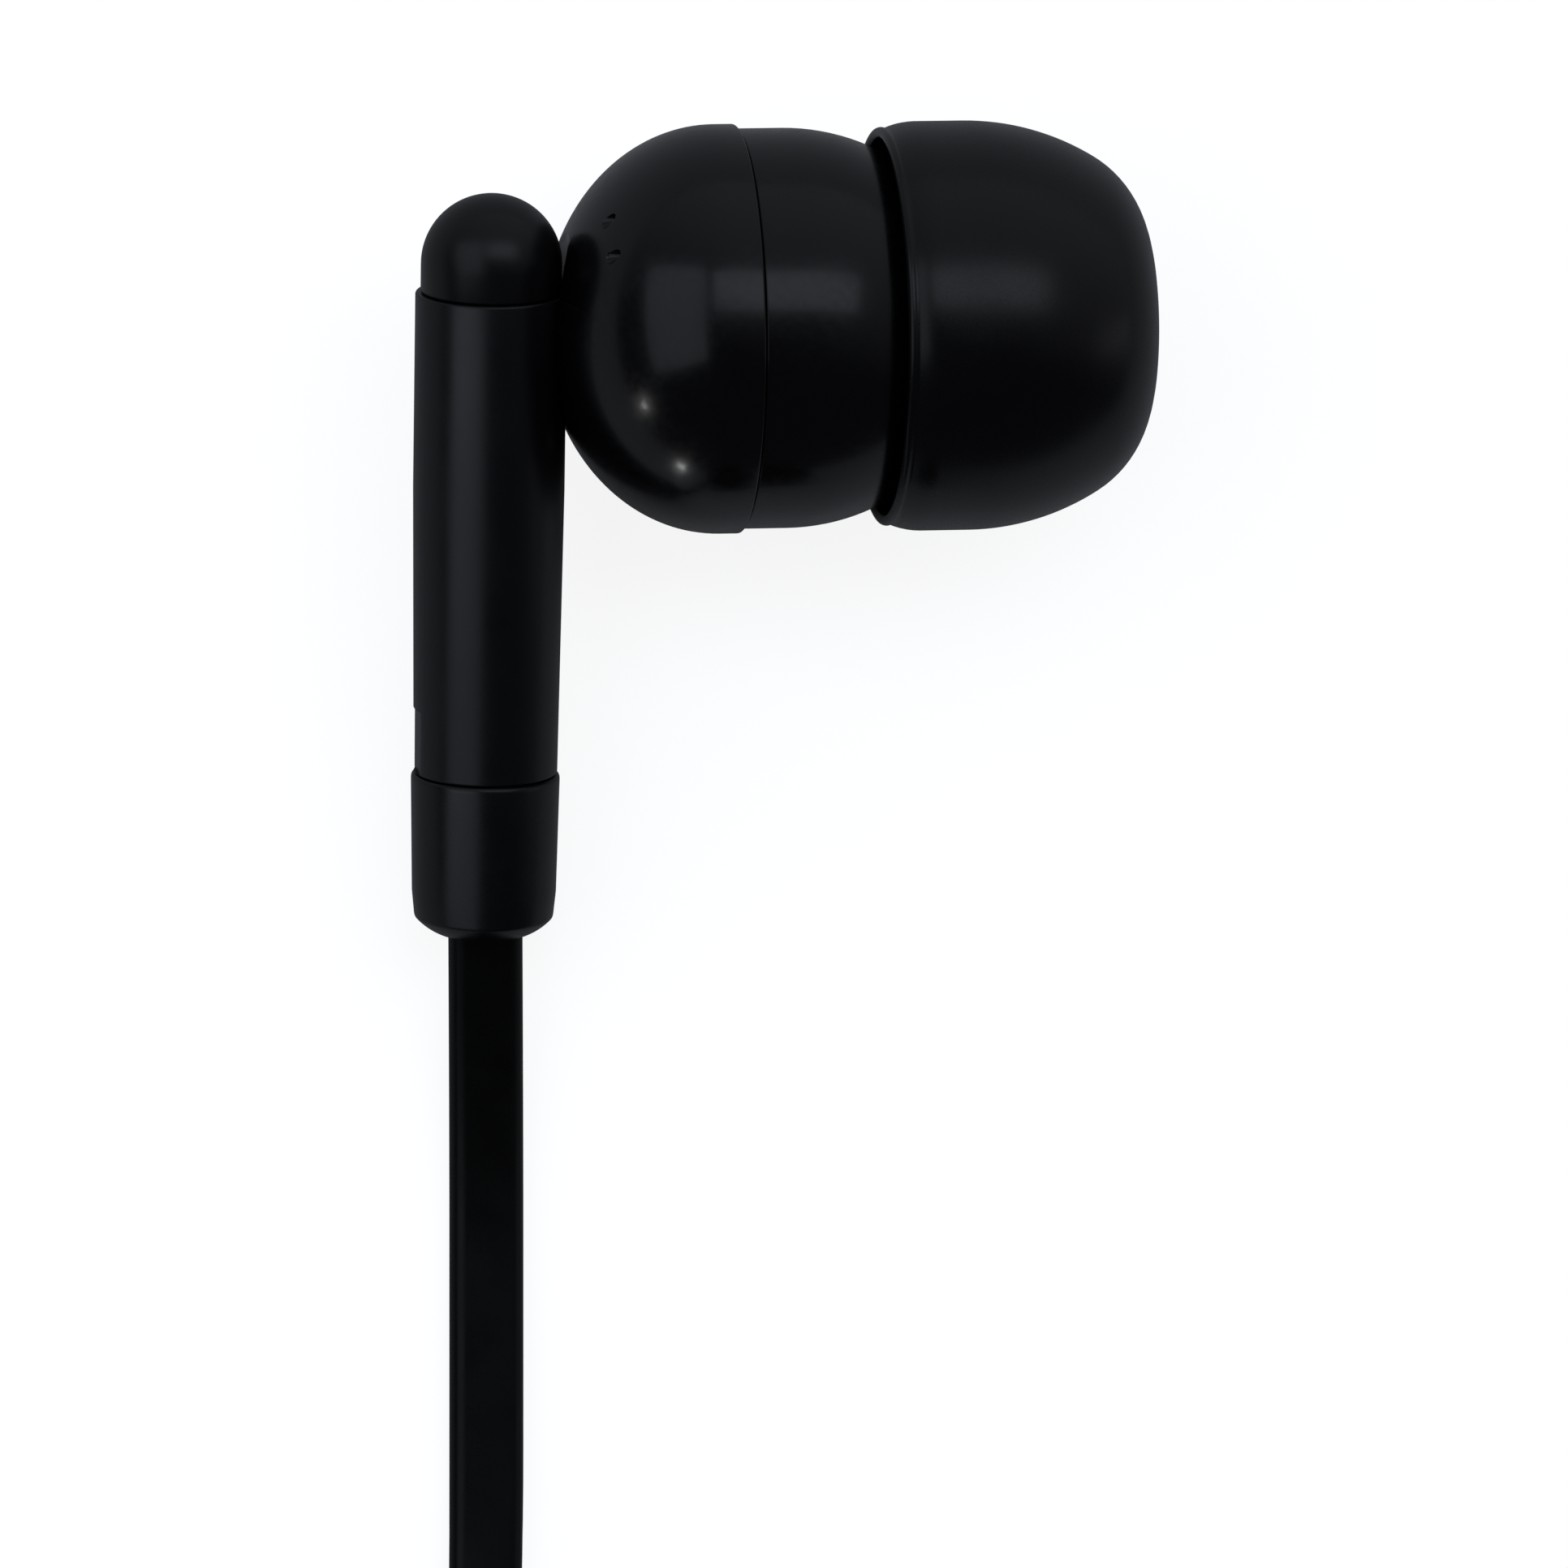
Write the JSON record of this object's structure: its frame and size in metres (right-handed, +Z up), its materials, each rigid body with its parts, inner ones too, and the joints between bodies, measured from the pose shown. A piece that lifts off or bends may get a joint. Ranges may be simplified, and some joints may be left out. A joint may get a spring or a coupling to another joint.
{
  "type": "wired earphones",
  "caption": "In-ear wired earphones: round housings with silicone tips on slim stems, a flat Y cord tied in a hank, and a 3.5 mm stereo plug.",
  "frame": {"origin": "on the table, midway between the two earpieces, under the middle of the tied hank", "axes": "+Z up from the table, +Y from the hank towards the left earpiece, +X the way the left earpiece's ear tip points"},
  "size_m": [0.0228, 0.143, 0.0166],
  "materials": {
    "shell_gloss": "polished black ABS",
    "stem_satin": "satin black ABS",
    "boot_rubber": "soft black thermoplastic rubber",
    "ear_tip_silicone": "matte black silicone",
    "cord_jacket": "smooth black flat cord jacket",
    "crimp_metal": "bare crimp ring",
    "wire_insulation": "lacquered wire",
    "nozzle_screen": "fine woven wire screen",
    "damper_foam": "open foam",
    "gasket_foam": "closed foam gasket",
    "driver_steel": "plated steel",
    "magnet_plating": "nickel plated magnet",
    "coil_wire": "lacquered copper winding",
    "diaphragm_film": "clear polyester film",
    "frame_plastic": "moulded black plastic",
    "damping_paper": "thin porous paper",
    "circuit_board": "green board with tinned pads",
    "splitter_plastic": "satin black plastic",
    "tie_plastic": "black coated wire tie",
    "plug_metal": "gold plated contacts",
    "plug_insulator": "black insulating rings",
    "plug_grip_plastic": "satin black overmould"
  },
  "bodies": {
    "root": {"left_front_shell": "shell_gloss", "left_rear_shell": "shell_gloss", "left_stem_shell": "stem_satin", "left_stem_cap": "stem_satin", "left_strain_relief": "boot_rubber", "left_cord_crimp": "crimp_metal", "left_signal_wires": "wire_insulation", "left_nozzle_mesh": "nozzle_screen", "left_acoustic_damper": "damper_foam", "left_seal_gasket": "gasket_foam", "left_driver_cover": "driver_steel", "left_diaphragm_surround": "diaphragm_film", "left_pole_plate": "driver_steel", "left_magnet": "magnet_plating", "left_yoke": "driver_steel", "left_driver_frame": "frame_plastic", "left_damping_paper": "damping_paper", "left_terminal_board": "circuit_board", "right_front_shell": "shell_gloss", "right_rear_shell": "shell_gloss", "right_stem_shell": "stem_satin", "right_stem_cap": "stem_satin", "right_strain_relief": "boot_rubber", "right_cord_crimp": "crimp_metal", "right_signal_wires": "wire_insulation", "right_nozzle_mesh": "nozzle_screen", "right_acoustic_damper": "damper_foam", "right_seal_gasket": "gasket_foam", "right_driver_cover": "driver_steel", "right_diaphragm_surround": "diaphragm_film", "right_pole_plate": "driver_steel", "right_magnet": "magnet_plating", "right_yoke": "driver_steel", "right_driver_frame": "frame_plastic", "right_damping_paper": "damping_paper", "right_terminal_board": "circuit_board", "left_leg_cord": "cord_jacket", "right_leg_cord": "cord_jacket", "main_cord_end": "cord_jacket", "left_leg_hank": "cord_jacket", "right_leg_hank": "cord_jacket", "main_cord_hank": "cord_jacket", "splitter_front": "splitter_plastic", "splitter_rear": "splitter_plastic", "splitter_core": "frame_plastic", "hank_tie": "tie_plastic", "plug_tip": "plug_metal", "plug_ring": "plug_metal", "plug_sleeve": "plug_metal", "plug_inner_insulator": "plug_insulator", "plug_outer_insulator": "plug_insulator", "plug_core": "frame_plastic", "plug_grip": "plug_grip_plastic", "plug_strain_relief": "boot_rubber"},
    "left_tip": {"left_ear_tip": "ear_tip_silicone"},
    "right_tip": {"right_ear_tip": "ear_tip_silicone"},
    "left_moving_coil": {"left_diaphragm": "diaphragm_film", "left_voice_coil": "coil_wire"},
    "right_moving_coil": {"right_diaphragm": "diaphragm_film", "right_voice_coil": "coil_wire"}
  },
  "joints": [
    {"name": "left_tip_pull", "type": "slide", "parent": "root", "child": "left_tip", "axis": [0.9998, 0.0192, 0], "range_m": [0, 0.009]},
    {"name": "right_tip_pull", "type": "slide", "parent": "root", "child": "right_tip", "axis": [-0.9998, -0.0192, 0], "range_m": [0, 0.009]},
    {"name": "left_coil_stroke", "type": "slide", "parent": "root", "child": "left_moving_coil", "axis": [0.9998, 0.0192, 0], "range_m": [-0.0001, 0.0001], "stiffness_N_per_m": 40},
    {"name": "right_coil_stroke", "type": "slide", "parent": "root", "child": "right_moving_coil", "axis": [-0.9998, -0.0192, 0], "range_m": [-0.0001, 0.0001], "stiffness_N_per_m": 40}
  ]
}
